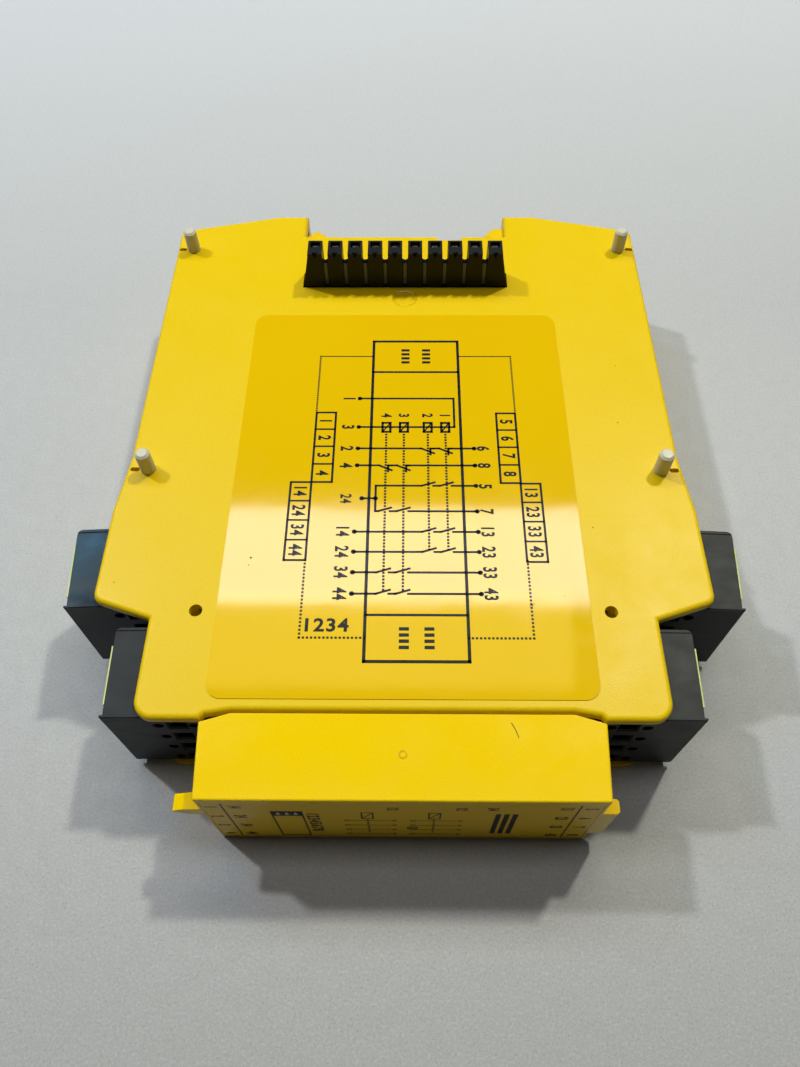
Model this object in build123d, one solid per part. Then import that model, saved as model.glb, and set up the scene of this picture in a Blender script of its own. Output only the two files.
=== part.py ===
from build123d import *
import math
import os

os.makedirs("parts", exist_ok=True)

# Module laid on its socket side: X runs along the height that the terminal plugs leave,
# Y from the front face to the rail, Z through the width. The origin is under the middle.

# Whole module: its width holds the poles of one plug, one above another
poles = 4
pole_pitch = 4.85
pole_room = 3.1
width = poles * pole_pitch + pole_room
depth = 120.8
wall = 1.4
edge_round = 0.8
rear_y = depth / 2
front_y = -depth / 2
inner_top = width - wall

# Outline of both side walls, one half
body_half = 46.5
notch_half = 20.4
notch_depth = 6.3
notch_floor_y = rear_y - notch_depth
rear_flat = 6.1
rear_flat_half = notch_half + rear_flat
rear_slope = 4.5
rear_corner_y = rear_y - rear_slope
cap_depth = 11.2
nose_y = front_y + cap_depth
nose_length = 15.7
step_y = nose_y + nose_length
step_slope = 3.1
shoulder_end_y = step_y + step_slope
shoulder_length = 16.5
shoulder_start_y = shoulder_end_y + shoulder_length
flare_length = 10.7
kink_y = shoulder_start_y + flare_length
shoulder_out = 1.2
shoulder_half = body_half + shoulder_out
step_in = 8.0
step_half = body_half - step_in
seat_half = 28.8
seat_bevel = 0.7
seat_slant = 4.4
seat_slant_half = seat_half - seat_slant
seat_depth = 1.3
seat_y = nose_y + seat_depth
rear_corner_radius = 1.5
shoulder_radius = 2.0
nose_radius = 3.0

# Link pins beside the neighbour module and their sockets
pin_radius = 1.25
pin_seat_radius = 1.15
pin_height = 4.65
pin_side_inset = 3.45
pin_front_inset = 2.55
pin_rear_inset = 6.1
pin_half = body_half - pin_side_inset
pin_front_y = kink_y - pin_front_inset
pin_rear_y = rear_corner_y - pin_rear_inset
pin_seat_depth = 12.0
pin_tip_bevel = 0.4
pin_fit = 0.02
pin_boss_radius = 2.8
socket_radius = 1.35
socket_depth = 5.2
window_length = 1.6
window_width = 0.8
window_offset = 2.3

# Locating holes and the gate dimple of the cover
locating_radius = 1.0
locating_inset = 7.05
locating_half = step_half - locating_inset
locating_rise = 1.3
locating_y = step_y + locating_rise
locating_depth = 6.0
dimple_radius = 2.4
dimple_slope = 0.3
dimple_depth = 0.25

# Notch in the cover's edge at the rail
edge_notch_x = 9.1
edge_notch_width = 5.0
edge_notch_depth = 1.4

# Bus connector
bus_half = 19.9
bus_depth = 3.9
bus_setback = 15.35
bus_front_y = notch_floor_y - bus_setback
dimple_setback = 3.05
dimple_y = bus_front_y - dimple_setback
bus_fingers = 10
bus_pitch = 3.81
finger_width = 2.7
bus_shoulder_height = 5.8
bus_taper = 1.1
finger_height = 7.9
bus_groove_depth = 0.4
bus_groove_width = 0.9
bus_web = 1.1
bus_gap_floor = 1.0
pocket_width = 1.8
pocket_depth = 1.5
pocket_bottom = 14.0
pocket_wall = 0.4
finger_nick = 0.5
bus_clearance = 0.15
bus_split_z = 9.4
bus_socket_lift = 0.2
bus_socket_wall = 1.2
bus_socket_deep = 6.0
contact_width = 1.2
contact_thick = 0.4
contact_setback = 0.9
contact_lower_z = 4.6
contact_top_gap = 0.8
tail_z = 17.6

# Terminal plugs
first_pole_z = 3.3
plug_length = 19.4
plug_depth = 14.3
plug_clearance = 0.08
plug_lip = 0.45
plug_rim = 0.5
plug_rim_rise = 0.12
plug_corner_radius = 0.9
plug_rim_bevel = 0.2
recess_clearance = 0.15
mouth_depth = 4.0
front_plug_out = 4.95
front_plug_setback = 0.5
front_plug_at = (step_half + front_plug_out, nose_y + front_plug_setback)
front_plug_tilt = 0.5
rear_plug_out = 4.7
rear_plug_setback = 2.25
rear_plug_at = (shoulder_half + rear_plug_out, step_y + rear_plug_setback)
rear_plug_tilt = 3.0
probe_radius = 0.8
probe_inset = 7.85
probe_deep = 4.0
entry_near = 9.35
entry_width = 2.55
entry_height = 2.6
entry_deep = 10.0
entry_bevel = 0.3
release_radius = 0.8
release_inset = 13.1
release_deep = 6.0
cavity_front = 6.3
cavity_depth = 1.9
cavity_height = 2.3
marker_start = 2.2
marker_length = 9.2
marker_thick = 0.6
marker_seat = 0.3
marker_margin = 0.9

# Headers that the plugs push onto
header_thick = 3.0
header_front = 3.0
header_depth = 8.0
header_margin = 0.15
header_pin = 0.8
header_pin_at = 7.0
header_pin_reach = 7.0
first_leg = 1.6
leg_pitch = 1.8

# Spring clamps in the plugs
clamp_thick = 0.4
clamp_width = 2.0
clamp_gap = 0.1
clamp_tail = 2.4
clamp_leaf = 3.4

# Circuit board and what it carries
board_thick = 1.6
board_gap = 0.5
board_top = inner_top - board_gap
board_bottom = board_top - board_thick
board_margin = 0.6
board_side_gap = 7.0
board_bus_gap = 2.25
board_plug_gap = 4.15
board_seat_gap = 5.5
board_half = body_half - board_side_gap
board_rear_y = bus_front_y - board_bus_gap
board_step_y = rear_plug_at[1] + plug_depth + board_plug_gap
board_nose_y = rear_plug_at[1]
board_front_y = seat_y + board_seat_gap
post_radius = 2.0
post_inset = 3.0
post_half = board_half - post_inset
post_rear_y = board_rear_y - 2 * post_inset
post_front_y = board_step_y + post_inset
nose_post_half = 6.0
nose_post_y = board_front_y + post_inset
relay_size = (12.6, 28.8, 15.7)
relay_pitch = 16.4
relay_y = (board_rear_y + board_step_y) / 2
relay_round = 0.6
relay_seam_z = 3.2
relay_seam = 0.25
capacitor_radius = 4.0
capacitor_height = 11.5
capacitor_half = 13.0
capacitor_inset = 7.2
capacitor_y = board_step_y - capacitor_inset
capacitor_groove = 0.4
chip_side = 10.0
chip_thick = 1.6
chip_y = capacitor_y

# Rail hook, rail latch and its spring
lip_slot = 1.3
hook_reach = 3.8
hook_overhang = 3.8
hook_root = 2.5
hook_nose_half = notch_half - hook_overhang
hook_root_half = notch_half - hook_root
hook_flank = 1.8
hook_tip = 0.6
latch_clearance = 0.3
latch_travel = 3.0
latch_bar_thick = 1.6
latch_bar_drop = 1.15
latch_bar_y = notch_floor_y - latch_bar_drop
latch_bar_height = 8.5
latch_bar_low = (width - latch_bar_height) / 2
latch_bar_high = latch_bar_low + latch_bar_height
latch_leg_gap = 1.9
latch_leg_thick = 2.7
latch_leg_inner = notch_half + latch_leg_gap
latch_leg_outer = latch_leg_inner + latch_leg_thick
latch_leg_length = 7.3
latch_leg_front_y = notch_floor_y - latch_leg_length
latch_neck = 2.0
latch_neck_root = 2.1
latch_neck_y = notch_floor_y + latch_neck
latch_tab_out = 2.1
latch_eye = 1.0
latch_eye_height = 4.6
latch_peak_in = 1.9
latch_peak_half = notch_half - latch_peak_in
latch_peak_drop = 0.3
spring_closed = 6.2
spring_rib_half = latch_leg_outer + latch_travel + spring_closed
spring_rib_thick = 1.4
spring_strip = 0.4
spring_folds = 4
spring_gap = 0.7
spring_low = latch_bar_low + spring_gap
spring_high = latch_bar_high - spring_gap
spring_front_y = latch_leg_front_y + spring_gap
spring_rear_y = latch_bar_y - spring_gap

# Ventilation slots in the two ends
vent_count = 7
vent_pitch = 3.6
vent_width = 1.5
vent_height = 12.0
vent_setback = 12.2
vent_first_y = kink_y + vent_setback

# Front cap
cap_lift = 0.2
cap_gap = 0.35
cap_rear_y = seat_y - cap_gap
cap_shoulder_drop = 0.4
cap_shoulder_y = nose_y - cap_shoulder_drop
cap_shoulder_half = seat_half
cap_taper = 0.6
cap_front_half = seat_half - cap_taper
cap_wall = 1.4
cap_edge = 0.35
cap_hook_half = 15.0
cap_hook_width = 5.0
cap_hook_thick = 1.2
cap_hook_length = 5.0
cap_hook_gap = 0.1
cap_barb = 0.5
catch_out = 3.9
catch_length = 2.4
catch_low = 14.6
catch_high = 17.3
catch_tip = 16.6
catch_crest = 1.7
block_out = 2.3
block_length = 2.1
block_low = 4.4
block_high = 16.1
ear_round = 0.35

# Films printed with the labels
film_thick = 0.12
film_sink = 0.03
side_film_half = 28.35
side_film_rear_gap = 4.85
side_film_front_gap = 1.7
side_film_rear_y = dimple_y - side_film_rear_gap
side_film_front_y = seat_y + side_film_front_gap
side_film_radius = 2.3
front_film_inset = 0.6
front_film_half = cap_front_half - front_film_inset
front_film_margin = 1.3


def box(x0, x1, y0, y1, z0, z1):
    size = (x1 - x0, y1 - y0, z1 - z0)
    centre = ((x0 + x1) / 2, (y0 + y1) / 2, (z0 + z1) / 2)
    return Pos(*centre) * Box(*size)


def column(x, y, z0, z1, radius):
    return Pos(x, y, (z0 + z1) / 2) * Cylinder(radius, z1 - z0)


def prism(points, z0, z1):
    profile = make_face(Polyline(*points, close=True))
    return Pos(0, 0, z0) * extrude(profile, z1 - z0)


def both_sides(points):
    return points + [(-x, y) for x, y in reversed(points)]


def rounded(face, corners, radius):
    picked = []
    for x, y in corners:
        picked.append(min(face.vertices(), key=lambda v: math.hypot(v.X - x, v.Y - y)))
    return fillet(picked, radius)


def pole_heights():
    return [first_pole_z + i * pole_pitch for i in range(poles)]


def finger_places():
    middle = (bus_fingers - 1) / 2
    return [(i - middle) * bus_pitch for i in range(bus_fingers)]


def pin_places():
    return {
        "front_left": (-pin_half, pin_front_y),
        "front_right": (pin_half, pin_front_y),
        "rear_left": (-pin_half, pin_rear_y),
        "rear_right": (pin_half, pin_rear_y),
    }


def plug_places():
    return {
        "front": Pos(*front_plug_at, 0) * Rot(0, 0, -front_plug_tilt),
        "rear": Pos(*rear_plug_at, 0) * Rot(0, 0, -rear_plug_tilt),
    }


# Outline shared by the two side walls
def side_outline():
    half = [
        (notch_half, notch_floor_y),
        (notch_half, rear_y),
        (rear_flat_half, rear_y),
        (body_half, rear_corner_y),
        (body_half, kink_y),
        (shoulder_half, shoulder_start_y),
        (shoulder_half, shoulder_end_y),
        (step_half, step_y),
        (step_half, nose_y),
        (seat_half, nose_y),
        (seat_half - seat_bevel, nose_y + seat_bevel),
        (seat_slant_half, seat_y),
    ]
    face = make_face(Polyline(*both_sides(half), close=True))
    for corner, radius in (
        ((body_half, rear_corner_y), rear_corner_radius),
        ((shoulder_half, shoulder_end_y), shoulder_radius),
        ((step_half, nose_y), nose_radius),
    ):
        x, y = corner
        face = rounded(face, [(x, y), (-x, y)], radius)
    return face


def side_wall():
    return extrude(side_outline(), wall)


# Room that one plug takes, with its running clearance, in the plug's own frame
def plug_room(grow):
    back = plug_depth + recess_clearance + grow
    inner = -(plug_length + recess_clearance + grow)
    outer = plug_length
    return Pos((inner + outer) / 2, (back - recess_clearance - grow) / 2) * Rectangle(
        outer - inner, back + recess_clearance + grow
    )


# Open stretch outboard of the step, where nothing stands before the rear plug
def plug_mouth():
    reach = shoulder_half - step_half + plug_length
    centre_x = step_half - rear_plug_at[0] + reach / 2
    return Pos(centre_x, 0) * Rectangle(reach, 2 * mouth_depth)


def both_halves(sketch):
    return sketch + mirror(sketch, Plane.YZ)


def rim_profile():
    outline = side_outline()
    places = plug_places()
    rooms = both_halves(places["front"] * plug_room(0) + places["rear"] * plug_room(0))
    rooms += both_halves(places["rear"] * plug_mouth())
    skirts = both_halves(places["front"] * plug_room(wall) + places["rear"] * plug_room(wall))
    inside = offset(outline, -wall, kind=Kind.INTERSECTION)
    open_front = Pos(0, nose_y) * Rectangle(2 * shoulder_half, 2 * (seat_y - nose_y))
    return outline - rooms - (inside - skirts) - open_front


# Fixed hook that the rail's upper edge goes behind
def fixed_hook():
    under = notch_floor_y + lip_slot
    top = notch_floor_y + hook_reach
    points = [
        (notch_half + wall / 2, notch_floor_y - wall / 2),
        (hook_root_half, notch_floor_y - wall / 2),
        (hook_root_half, under),
        (hook_nose_half, under),
        (hook_nose_half, under + hook_tip),
        (hook_nose_half + hook_flank, top),
        (notch_half + wall / 2, top),
    ]
    return prism(points, wall, inner_top)


def board_posts():
    places = []
    for side in (-1, 1):
        places.append((side * post_half, post_rear_y))
        places.append((side * post_half, post_front_y))
        places.append((side * nose_post_half, nose_post_y))
    return [column(x, y, wall, board_bottom, post_radius) for x, y in places]


def header_block_inner():
    return -(plug_length + recess_clearance + header_thick)


def header_block():
    inner = header_block_inner()
    return box(
        inner,
        inner + header_thick,
        header_front,
        header_front + header_depth,
        wall + header_margin,
        inner_top - header_margin,
    )


def vents():
    cuts = []
    middle = width / 2
    for i in range(vent_count):
        y = vent_first_y + i * vent_pitch
        slot = box(
            body_half - 2 * wall,
            shoulder_half,
            y - vent_width / 2,
            y + vent_width / 2,
            middle - vent_height / 2,
            middle + vent_height / 2,
        )
        cuts += [slot, mirror(slot, Plane.YZ)]
    return cuts


def latch_openings():
    side = box(
        -shoulder_half,
        -(body_half - 2 * wall),
        latch_bar_y - latch_clearance,
        latch_bar_y + latch_bar_thick + latch_clearance / 2,
        latch_bar_low - latch_clearance,
        latch_bar_high + latch_clearance,
    )
    neck = box(
        -(notch_half + latch_neck_root),
        -(notch_half - wall / 2),
        notch_floor_y,
        notch_floor_y + hook_reach,
        wall,
        inner_top,
    )
    return [side, neck]


def cap_slots():
    low = cap_lift + cap_wall
    cuts = []
    for side in (-1, 1):
        slot = box(
            side * cap_hook_half - cap_hook_width / 2 - cap_hook_gap,
            side * cap_hook_half + cap_hook_width / 2 + cap_hook_gap,
            seat_y - wall,
            seat_y + 2 * wall,
            low,
            low + cap_barb + cap_hook_thick + 2 * cap_hook_gap,
        )
        cuts += [slot, mirror(slot, Plane.XY.offset(width / 2))]
    return cuts


def housing_base():
    floor = side_wall()
    low_edges = floor.faces().sort_by(Axis.Z)[0].outer_wire().edges()
    base = fillet(low_edges, edge_round)
    base += Pos(0, 0, wall) * extrude(rim_profile(), width - 2 * wall)
    base += fixed_hook()
    for post in board_posts():
        base += post
    for x, y in pin_places().values():
        base += column(x, y, wall, inner_top, pin_boss_radius)
    base += box(
        -spring_rib_half - spring_rib_thick,
        -spring_rib_half,
        spring_front_y,
        spring_rear_y,
        wall,
        latch_bar_high,
    )
    for place in plug_places().values():
        opening = place * header_block()
        base -= opening
        base -= mirror(opening, Plane.YZ)
    for x, y in pin_places().values():
        base -= column(x, y, 0, socket_depth, socket_radius)
        base -= column(x, y, inner_top - pin_seat_depth, inner_top, pin_seat_radius + pin_fit)
    for side in (-1, 1):
        base -= column(
            side * locating_half, locating_y, inner_top - locating_depth, inner_top, locating_radius
        )
    for cut in vents() + latch_openings() + cap_slots():
        base -= cut
    window = bus_socket_block(bus_clearance)
    return base - window - Pos(0, 0, -bus_socket_lift) * window


def side_cover():
    cover = Pos(0, 0, inner_top) * side_wall()
    top_edges = cover.faces().sort_by(Axis.Z)[-1].outer_wire().edges()
    cover = fillet(top_edges, edge_round)
    for x, y in pin_places().values():
        side = math.copysign(1, x)
        cover -= column(x, y, inner_top, width, pin_seat_radius + pin_fit)
        window = SlotOverall(window_length, window_width)
        middle = x + side * window_offset
        cover -= Pos(middle, y, inner_top) * extrude(window, wall)
    for side in (-1, 1):
        cover -= column(side * locating_half, locating_y, inner_top, width, locating_radius)
    dimple = Cone(dimple_radius - dimple_slope, dimple_radius, dimple_depth)
    cover -= Pos(0, dimple_y, width - dimple_depth / 2) * dimple
    cover -= box(
        edge_notch_x - edge_notch_width / 2,
        edge_notch_x + edge_notch_width / 2,
        notch_floor_y - edge_notch_depth,
        notch_floor_y,
        inner_top,
        width,
    )
    cover -= box(
        -bus_half - bus_clearance,
        bus_half + bus_clearance,
        bus_front_y - bus_clearance,
        bus_front_y + bus_depth + bus_clearance,
        inner_top,
        width,
    )
    return cover


def link_pin(x, y):
    pin = column(x, y, width, width + pin_height, pin_radius)
    tip = pin.edges().filter_by(GeomType.CIRCLE).sort_by(Axis.Z)[-1]
    pin = chamfer(tip, pin_tip_bevel)
    return pin + column(x, y, inner_top - pin_seat_depth, width, pin_seat_radius)


# Ten contacts, each with an upper and a lower blade and a tail to the board
def bus_contacts():
    upper_y = bus_front_y + bus_depth - pocket_wall - contact_thick
    lower_y = upper_y - contact_setback
    top = width + finger_height - contact_top_gap
    blades = []
    for x in finger_places():
        x0 = x - contact_width / 2
        x1 = x + contact_width / 2
        blade = box(x0, x1, upper_y, upper_y + contact_thick, bus_split_z, top)
        blade += box(
            x0, x1, lower_y, upper_y + contact_thick, bus_split_z, bus_split_z + contact_thick
        )
        blade += box(
            x0, x1, lower_y, lower_y + contact_thick, contact_lower_z, bus_split_z + contact_thick
        )
        tail_end = board_rear_y - board_margin
        blade += box(x0, x1, tail_end - contact_thick, upper_y, tail_z, tail_z + contact_thick)
        blade += box(
            x0, x1, tail_end - contact_thick, tail_end, tail_z, board_bottom
        )
        blades.append(blade)
    return blades


def finger_gaps():
    places = finger_places()
    shoulder_z = width + bus_shoulder_height
    top = width + finger_height
    gap = bus_pitch - finger_width
    cuts = []
    for left, right in zip(places, places[1:]):
        middle = (left + right) / 2
        slot = box(
            middle - gap / 2,
            middle + gap / 2,
            bus_front_y,
            bus_front_y + bus_depth,
            shoulder_z + gap / 2,
            top,
        )
        slot += box(
            middle - gap / 2,
            middle + gap / 2,
            bus_front_y + bus_web,
            bus_front_y + bus_depth,
            width + bus_gap_floor,
            top,
        )
        root = Pos(middle, bus_front_y + bus_web / 2, shoulder_z + gap / 2) * Rot(90, 0, 0)
        slot += root * Cylinder(gap / 2, bus_web)
        groove = box(
            middle - bus_groove_width / 2,
            middle + bus_groove_width / 2,
            bus_front_y,
            bus_front_y + bus_groove_depth,
            width,
            shoulder_z + gap / 2,
        )
        cuts += [slot, groove]
    return cuts


def bus_plug(contacts):
    top = width + finger_height
    rear = bus_front_y + bus_depth
    plug = box(-bus_half, bus_half, bus_front_y, rear, bus_split_z, top)
    outer = finger_places()[-1] + finger_width / 2
    shoulder_z = width + bus_shoulder_height
    ends = [
        (outer, top),
        (outer, shoulder_z),
        (bus_half - bus_taper, shoulder_z),
        (bus_half, width),
        (bus_half, top),
    ]
    end = extrude(Plane.XZ * make_face(Polyline(*ends, close=True)), bus_depth)
    end = Pos(0, rear, 0) * end
    plug = plug - end - mirror(end, Plane.YZ)
    for cut in finger_gaps():
        plug -= cut
    for x in finger_places():
        plug -= box(
            x - pocket_width / 2,
            x + pocket_width / 2,
            rear - pocket_wall - pocket_depth,
            rear - pocket_wall,
            pocket_bottom,
            top,
        )
        nick = [(x - finger_nick, top), (x + finger_nick, top), (x, top - 2 * finger_nick)]
        face = Plane.XZ * make_face(Polyline(*nick, close=True))
        plug -= Pos(0, bus_front_y, 0) * extrude(face, finger_nick, both=True)
    for blade in contacts:
        plug -= blade
    return plug


def bus_socket_block(grow):
    out = bus_socket_wall + bus_clearance + grow
    return box(
        -bus_half - out,
        bus_half + out,
        bus_front_y - out,
        bus_front_y + bus_depth + out,
        bus_socket_lift - grow,
        bus_split_z,
    )


# Socket that takes the next module's connector: a wide mouth, then one cell per finger
def bus_socket(contacts):
    socket = bus_socket_block(0)
    y0 = bus_front_y - bus_clearance
    y1 = bus_front_y + bus_depth + bus_clearance
    x1 = bus_half + bus_clearance
    socket -= box(-x1, x1, y0, y1, bus_socket_lift, bus_socket_deep)
    for x in finger_places():
        reach = finger_width / 2 + bus_clearance
        socket -= box(x - reach, x + reach, y0, y1, bus_socket_deep, finger_height + bus_socket_lift)
    for blade in contacts:
        socket -= blade
    return socket


# Plug in its own frame: outer lip corner at the origin, u outward, v to the rear
def plug_sides():
    sides = [(-plug_length, 0), (-plug_lip, 0), (0, plug_depth), (-plug_length, plug_depth)]
    face = make_face(Polyline(*sides, close=True))
    return rounded(face, [(0, plug_depth)], plug_corner_radius)


def marker_strip():
    lean = math.degrees(math.atan(plug_lip / plug_depth))
    strip = box(
        -marker_seat,
        marker_thick - marker_seat,
        marker_start,
        marker_start + marker_length,
        wall + plug_clearance + marker_margin,
        inner_top - plug_clearance - marker_margin,
    )
    return Pos(-plug_lip, 0) * Rot(0, 0, -lean) * strip


def bored(u, z, radius, deep):
    return Pos(u, deep / 2, z) * Rot(90, 0, 0) * Cylinder(radius, deep)


def pole_openings(z):
    middle = -(entry_near + entry_width / 2)
    half = entry_height / 2
    mouth = Plane(origin=(middle, 0, z), x_dir=(1, 0, 0), z_dir=(0, 1, 0))
    funnel = mouth * Rectangle(entry_width + 2 * entry_bevel, entry_height + 2 * entry_bevel)
    return [
        bored(-probe_inset, z, probe_radius, probe_deep),
        bored(-release_inset, z, release_radius, release_deep),
        box(-entry_near - entry_width, -entry_near, 0, entry_deep, z - half, z + half),
        extrude(funnel, entry_bevel, taper=45),
        box(
            -plug_length,
            -entry_near,
            cavity_front,
            cavity_front + cavity_depth,
            z - cavity_height / 2,
            z + cavity_height / 2,
        ),
    ]


def plug_body():
    low = wall + plug_clearance
    high = inner_top - plug_clearance
    core = extrude(plug_sides(), high - low - 2 * plug_rim_rise)
    body = Pos(0, 0, low + plug_rim_rise) * core
    rear_rim = Pos(0, 0, low) * extrude(plug_sides(), high - low)
    body += rear_rim & box(-plug_length, 0, plug_depth - plug_rim, plug_depth, low, high)
    flange = box(-plug_length, 0, 0, plug_rim, low, high)
    body += chamfer(flange.faces().sort_by(Axis.Y)[0].edges(), plug_rim_bevel)
    for z in pole_heights():
        for opening in pole_openings(z):
            body -= opening
    return body - marker_strip()


# Flat contact strip beside the pin, bent forward as a leaf across the wire entry
def clamp_set():
    v = header_pin_at + header_pin / 2 + clamp_gap + clamp_thick / 2
    bend = -(entry_near + clamp_thick)
    path = Polyline(
        (-plug_length + clamp_tail, v),
        (bend, v),
        (-(entry_near + entry_width - clamp_thick), v - clamp_leaf),
    )
    strip = make_face(offset(path, clamp_thick / 2, side=Side.BOTH, kind=Kind.INTERSECTION))
    low = -clamp_width / 2
    return [Pos(0, 0, z + low) * extrude(strip, clamp_width) for z in pole_heights()]


# Right-angled pins: the top pole has the leg nearest to the header
def header_pins():
    half = header_pin / 2
    v0 = header_pin_at - half
    v1 = header_pin_at + half
    tip = -plug_length + header_pin_reach
    pins = []
    for i, z in enumerate(pole_heights()):
        leg = header_block_inner() - first_leg - (poles - 1 - i) * leg_pitch
        pin = box(leg - half, tip, v0, v1, z - half, z + half)
        pin += box(leg - half, leg + half, v0, v1, z - half, board_bottom)
        pins.append(pin)
    return pins


def header():
    block = header_block()
    for pin in header_pins():
        block -= pin
    return block


def board_stage(plug_x):
    return plug_x + header_block_inner() - board_margin


def main_board():
    stages = [
        (board_half, board_step_y, board_rear_y),
        (board_stage(rear_plug_at[0]), board_nose_y, board_step_y),
        (board_stage(front_plug_at[0]), board_front_y, board_nose_y),
    ]
    board = None
    for half, y0, y1 in stages:
        slab = box(-half, half, y0, y1, board_bottom, board_top)
        board = slab if board is None else board + slab
    return board


def relay(x):
    wide, long, tall = relay_size
    low = board_bottom - tall
    case = box(x - wide / 2, x + wide / 2, relay_y - long / 2, relay_y + long / 2, low, board_bottom)
    edges = case.edges().filter_by(Axis.Z) + case.faces().sort_by(Axis.Z)[0].edges()
    case = fillet(edges, relay_round)
    seam = box(
        x - wide,
        x + wide,
        relay_y - long,
        relay_y + long,
        board_bottom - relay_seam_z,
        board_bottom - relay_seam_z + relay_seam,
    )
    core = box(
        x - wide / 2 + relay_seam,
        x + wide / 2 - relay_seam,
        relay_y - long / 2 + relay_seam,
        relay_y + long / 2 - relay_seam,
        low,
        board_bottom,
    )
    return case - (seam - core)


def capacitor(x):
    low = board_bottom - capacitor_height
    can = column(x, capacitor_y, low, board_bottom, capacitor_radius)
    can = fillet(can.edges().sort_by(Axis.Z)[0], capacitor_groove)
    crimp_z = board_bottom - capacitor_radius / 2
    ring = column(x, capacitor_y, crimp_z, crimp_z + capacitor_groove, capacitor_radius)
    core_radius = capacitor_radius - capacitor_groove
    return can - (ring - column(x, capacitor_y, crimp_z, crimp_z + capacitor_groove, core_radius))


def control_chip():
    half = chip_side / 2
    low = board_bottom - chip_thick
    chip = box(-half, half, chip_y - half, chip_y + half, low, board_bottom)
    return chamfer(chip.faces().sort_by(Axis.Z)[0].edges(), chip_thick / 4)


# Sliding latch: nose in the notch, leg behind its side, bar out to a screwdriver eye
def rail_latch():
    under = notch_floor_y + lip_slot
    neck_low = notch_floor_y + latch_clearance
    points = [
        (-hook_nose_half, under),
        (-hook_nose_half, under + hook_tip),
        (-latch_peak_half, notch_floor_y + hook_reach - latch_peak_drop),
        (-notch_half, latch_neck_y),
        (-latch_leg_outer, latch_neck_y),
        (-latch_leg_outer, latch_leg_front_y),
        (-latch_leg_inner, latch_leg_front_y),
        (-latch_leg_inner, neck_low),
        (-hook_root_half, neck_low),
        (-hook_root_half, under),
    ]
    latch = prism(points, wall + latch_clearance, inner_top - latch_clearance)
    end = -(body_half + latch_tab_out)
    rear = latch_bar_y + latch_bar_thick
    bar = box(end, -latch_leg_inner, latch_bar_y, rear, latch_bar_low, latch_bar_high)
    bar = fillet(bar.faces().sort_by(Axis.X)[0].edges().filter_by(Axis.Y), latch_eye)
    middle = (latch_bar_low + latch_bar_high) / 2
    eye_x = end + latch_tab_out / 2
    eye = box(
        eye_x - latch_eye / 2,
        eye_x + latch_eye / 2,
        latch_bar_y,
        rear,
        middle - latch_eye_height / 2,
        middle + latch_eye_height / 2,
    )
    return latch + bar - eye


def latch_spring():
    start = -spring_rib_half + spring_strip
    end = -latch_leg_outer - spring_strip
    runs = 2 * spring_folds - 1
    low = spring_front_y + spring_strip
    high = spring_rear_y - spring_strip
    points = []
    for i in range(runs + 1):
        points.append((start + (end - start) * i / runs, low if i % 2 == 0 else high))
    strip = make_face(offset(Polyline(*points), spring_strip / 2, side=Side.BOTH))
    return Pos(0, 0, spring_low) * extrude(strip, spring_high - spring_low)


def cap_ring(inset, front_inset):
    return both_sides(
        [
            (seat_slant_half - inset, cap_rear_y),
            (cap_shoulder_half - inset, cap_shoulder_y),
            (cap_front_half - inset, front_y + front_inset),
        ]
    )


def cap_hook(x):
    low = cap_lift + cap_wall
    z0 = low + cap_barb + cap_hook_gap
    z1 = z0 + cap_hook_thick
    x0 = x - cap_hook_width / 2
    x1 = x + cap_hook_width / 2
    end = cap_rear_y + cap_hook_length
    catch_y = seat_y + wall + cap_hook_gap
    hook = box(x0, x1, cap_rear_y - cap_hook_length, end, z0, z1)
    hook += box(x0, x1, cap_rear_y - cap_hook_length, cap_rear_y, low, z1)
    barb = [(catch_y, z1), (end, z1), (catch_y, z1 + cap_barb)]
    face = Plane.YZ * make_face(Polyline(*barb, close=True))
    return hook + Pos(x, 0, 0) * extrude(face, cap_hook_width / 2, both=True)


def cap_hooks():
    lower = [cap_hook(side * cap_hook_half) for side in (-1, 1)]
    upper = [mirror(hook, Plane.XY.offset(width / 2)) for hook in lower]
    return lower + upper


# Finger catch on the left end of the cap: flat above, curved below, a blunt outer edge
def finger_catch():
    root = -cap_front_half + ear_round
    tip = -cap_front_half - catch_out
    crest = tip + catch_crest
    top = Polyline((root, catch_low), (root, catch_high), (crest, catch_high), (tip, catch_tip))
    under = ThreePointArc(
        (tip, catch_tip),
        (tip + catch_crest, catch_low + ear_round),
        (root - ear_round, catch_low),
    )
    face = make_face(top + under + Line((root - ear_round, catch_low), (root, catch_low)))
    solid = Pos(0, front_y + catch_length, 0) * extrude(Plane.XZ * face, catch_length)
    rear_edges = solid.faces().sort_by(Axis.Y)[-1].edges().sort_by(Axis.X)[:1]
    return fillet(rear_edges, ear_round)


def hinge_block():
    root = cap_front_half - ear_round
    block = box(
        root, cap_front_half + block_out, front_y, front_y + block_length, block_low, block_high
    )
    outer = block.faces().sort_by(Axis.X)[-1].edges().filter_by(Axis.Z)
    return chamfer(outer, ear_round)


def front_film_box(grow, back):
    z0 = cap_lift + front_film_margin
    return box(
        -front_film_half - grow,
        front_film_half + grow,
        front_y + film_sink - back,
        front_y + film_sink + film_thick,
        z0 - grow,
        width - z0 + grow,
    )


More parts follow.
